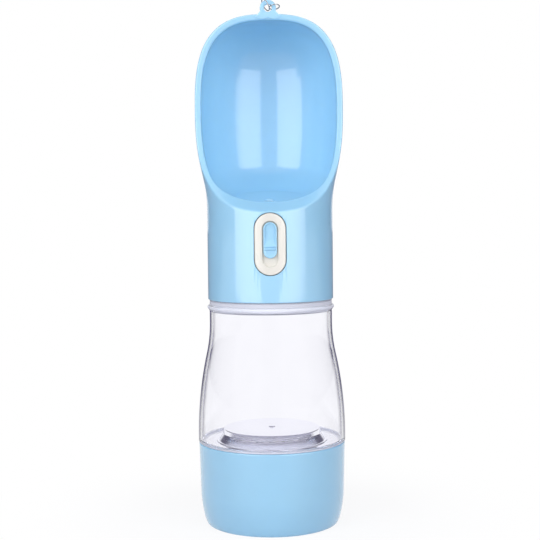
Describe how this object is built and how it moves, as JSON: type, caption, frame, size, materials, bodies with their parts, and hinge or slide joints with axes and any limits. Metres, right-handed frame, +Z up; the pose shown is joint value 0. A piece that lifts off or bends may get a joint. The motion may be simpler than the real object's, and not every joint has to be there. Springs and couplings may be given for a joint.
{
  "type": "dog travel water bottle",
  "caption": "Tall travel water bottle for dogs: a blue scoop head with a press key and lock, a clear waisted bottle and a screw-on blue food cup.",
  "frame": {"origin": "middle of the food cup's base, on the resting plane", "axes": "+Z up through the bottle, front with the scoop's opening and the key towards -Y"},
  "size_m": [0.0744, 0.0744, 0.2618],
  "materials": {
    "blue_plastic": "semi-gloss moulded, pale blue",
    "key_plastic": "gloss moulded, warm white",
    "clear_plastic": "clear, polished mould",
    "milk_plastic": "satin moulded, off-white",
    "white_plastic": "gloss moulded, white",
    "silicone": "matt, translucent white",
    "black_rubber": "matt, black",
    "spring_steel": "drawn wire",
    "nickel_steel": "bright nickel on wire"
  },
  "bodies": {
    "cup": {"food_cup": "blue_plastic"},
    "cup_seal": {"cup_seal": "silicone"},
    "lid": {"cup_lid": "milk_plastic"},
    "lid_gasket": {"lid_gasket": "silicone"},
    "bottle": {"bottle": "clear_plastic"},
    "mouth_seal": {"mouth_seal": "silicone"},
    "head": {"head_shell": "blue_plastic", "valve_core": "white_plastic", "cap_gasket": "silicone", "spout_cap": "white_plastic", "cap_screws": "spring_steel", "stem_o_ring": "black_rubber", "spout_sleeve": "silicone", "key_guide": "milk_plastic", "guide_screws": "spring_steel", "key_springs": "spring_steel", "valve_spring": "spring_steel"},
    "key": {"press_key": "key_plastic"},
    "lock": {"lock_slider": "blue_plastic", "slider_clip": "milk_plastic"},
    "valve": {"valve_stem": "milk_plastic", "valve_seal": "silicone", "stem_cap": "milk_plastic"},
    "wire_ring": {"wire_ring": "nickel_steel"},
    "link_ring": {"link_ring": "nickel_steel"}
  },
  "joints": [
    {"name": "lid_lift", "type": "slide", "parent": "cup", "child": "cup_seal", "axis": [0, 0, 1], "range_m": [0, 0.00805]},
    {"name": "lid_turn", "type": "hinge", "parent": "cup_seal", "child": "lid", "pos_m": [0, 0, 0.0323], "axis": [0, 0, 1], "range_deg": [0, 720]},
    {"name": "bottle_turn", "type": "hinge", "parent": "lid", "child": "lid_gasket", "pos_m": [0, 0, 0.0423], "axis": [0, 0, 1], "range_deg": [0, 450]},
    {"name": "bottle_lift", "type": "slide", "parent": "lid_gasket", "child": "bottle", "axis": [0, 0, 1], "range_m": [0, 0.0038]},
    {"name": "head_lift", "type": "slide", "parent": "bottle", "child": "mouth_seal", "axis": [0, 0, 1], "range_m": [0, 0.0045]},
    {"name": "head_turn", "type": "hinge", "parent": "mouth_seal", "child": "head", "pos_m": [0, 0, 0.117], "axis": [0, 0, 1], "range_deg": [0, 400]},
    {"name": "key_press", "type": "slide", "parent": "head", "child": "key", "axis": [0, 1, 0], "range_m": [0, 0.0025], "stiffness_N_per_m": 600, "springref_m": -0.003, "deforming": ["key_springs"]},
    {"name": "lock_slide", "type": "slide", "parent": "key", "child": "lock", "axis": [0, 0, 1], "range_m": [-0.004, 0]},
    {"name": "valve_open", "type": "slide", "parent": "head", "child": "valve", "axis": [0, 0, -1], "range_m": [0, 0.0025], "deforming": ["valve_spring"]},
    {"name": "wire_ring_swing", "type": "hinge", "parent": "head", "child": "wire_ring", "pos_m": [0, -0.00606, 0.2572], "axis": [0, 1, 0], "range_deg": [0, 30]},
    {"name": "link_ring_swing", "type": "hinge", "parent": "head", "child": "link_ring", "pos_m": [0, -0.00606, 0.2572], "axis": [0, 1, 0], "range_deg": [-30, 0]}
  ],
  "couplings": [
    {"joint": "lid_lift", "follows": "lid_turn", "m_per_rad": 0.00063662},
    {"joint": "bottle_lift", "follows": "bottle_turn", "m_per_rad": 0.00047746},
    {"joint": "head_lift", "follows": "head_turn", "m_per_rad": 0.00063662},
    {"joint": "valve_open", "follows": "key_press", "ratio": 1}
  ]
}
